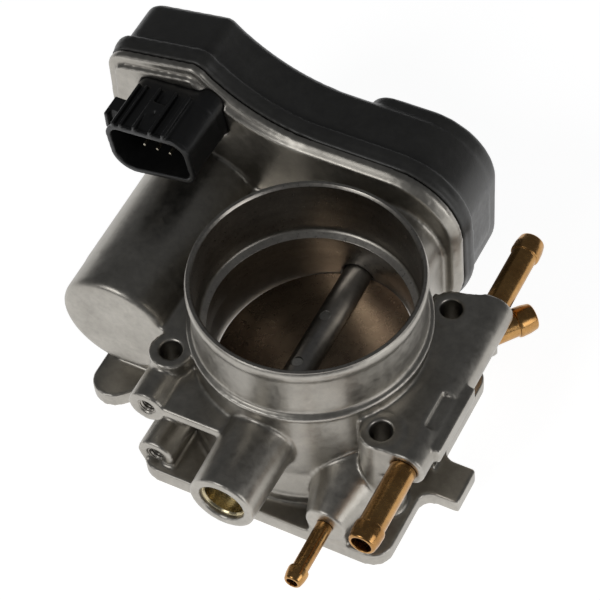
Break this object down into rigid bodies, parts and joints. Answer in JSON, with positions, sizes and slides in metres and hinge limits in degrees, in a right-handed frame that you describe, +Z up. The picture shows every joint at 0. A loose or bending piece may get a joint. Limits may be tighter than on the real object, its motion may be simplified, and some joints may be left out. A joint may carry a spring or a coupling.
{
  "type": "electronic throttle body",
  "caption": "Die-cast electronic throttle body with a tilting plate, geared motor drive, plug-in connector, coolant rail and hose nipples, on a four-hole flange",
  "frame": {"origin": "where the bore axis meets the manifold face", "axes": "+Z up the bore to the intake spigot, +Y along the throttle shaft to the gear cover, +X to the coolant rail"},
  "size_m": [0.1429, 0.1353, 0.0844],
  "materials": {
    "cast_aluminium": "satin die-cast aluminium, machined on the rim, ears and faces",
    "cover_plastic": "fine-textured dark glass-filled nylon",
    "seal_rubber": "matt black rubber",
    "zinc_steel": "zinc-plated steel",
    "connector_plastic": "black nylon",
    "tinned_copper": "plated contact",
    "ferrite": "sintered magnet",
    "spring_steel": "drawn spring wire",
    "bright_steel": "ground steel",
    "brass": "turned brass, slightly tarnished",
    "gear_plastic": "natural acetal",
    "sector_plastic": "black nylon",
    "board_green": "solder-masked board",
    "shaft_steel": "turned steel, grey",
    "plate_bronze": "brownish rolled sheet",
    "yellow_zinc": "yellow passivated zinc"
  },
  "bodies": {
    "housing": {"throttle_housing": "cast_aluminium", "gear_cover": "cover_plastic", "cover_seal": "seal_rubber", "cover_screws": "zinc_steel", "connector_shell": "connector_plastic", "connector_terminals": "tinned_copper", "lead_frame": "connector_plastic", "motor_can": "zinc_steel", "motor_magnets": "ferrite", "motor_end_plate": "zinc_steel", "motor_screws": "zinc_steel", "motor_wave_spring": "spring_steel", "intermediate_pin": "bright_steel", "sensor_board": "board_green", "needle_bearing": "bright_steel", "shaft_seals": "seal_rubber", "bearing_outer_ring": "bright_steel", "bearing_balls": "bright_steel", "boss_plug": "yellow_zinc", "return_spring": "spring_steel", "spring_sleeve": "gear_plastic", "front_coolant_nipple": "brass", "rear_coolant_nipple": "brass", "vacuum_nipple": "brass", "side_nipple": "brass", "rail_plug": "yellow_zinc"},
    "throttle": {"throttle_shaft": "shaft_steel", "throttle_plate": "plate_bronze", "plate_screws": "zinc_steel", "bearing_inner_ring": "bright_steel", "sector_gear": "sector_plastic", "sensor_magnet": "ferrite"},
    "intermediate": {"intermediate_gear": "gear_plastic"},
    "motor": {"motor_rotor": "bright_steel", "motor_pinion": "brass"}
  },
  "joints": [
    {"name": "throttle_turn", "type": "hinge", "parent": "housing", "child": "throttle", "pos_m": [0, 0, 0.0295], "axis": [0, -1, 0], "range_deg": [-6, 78], "stiffness_Nm_per_rad": 0.25},
    {"name": "intermediate_turn", "type": "hinge", "parent": "housing", "child": "intermediate", "pos_m": [-0.03015, 0, 0.03411], "axis": [0, -1, 0], "range_deg": [-320, 26]},
    {"name": "motor_turn", "type": "hinge", "parent": "housing", "child": "motor", "pos_m": [-0.056, 0, 0.0325], "axis": [0, -1, 0], "range_deg": [-130, 1650]}
  ],
  "couplings": [
    {"joint": "intermediate_turn", "follows": "throttle_turn", "ratio": -4.0833},
    {"joint": "motor_turn", "follows": "throttle_turn", "ratio": 21.097}
  ]
}
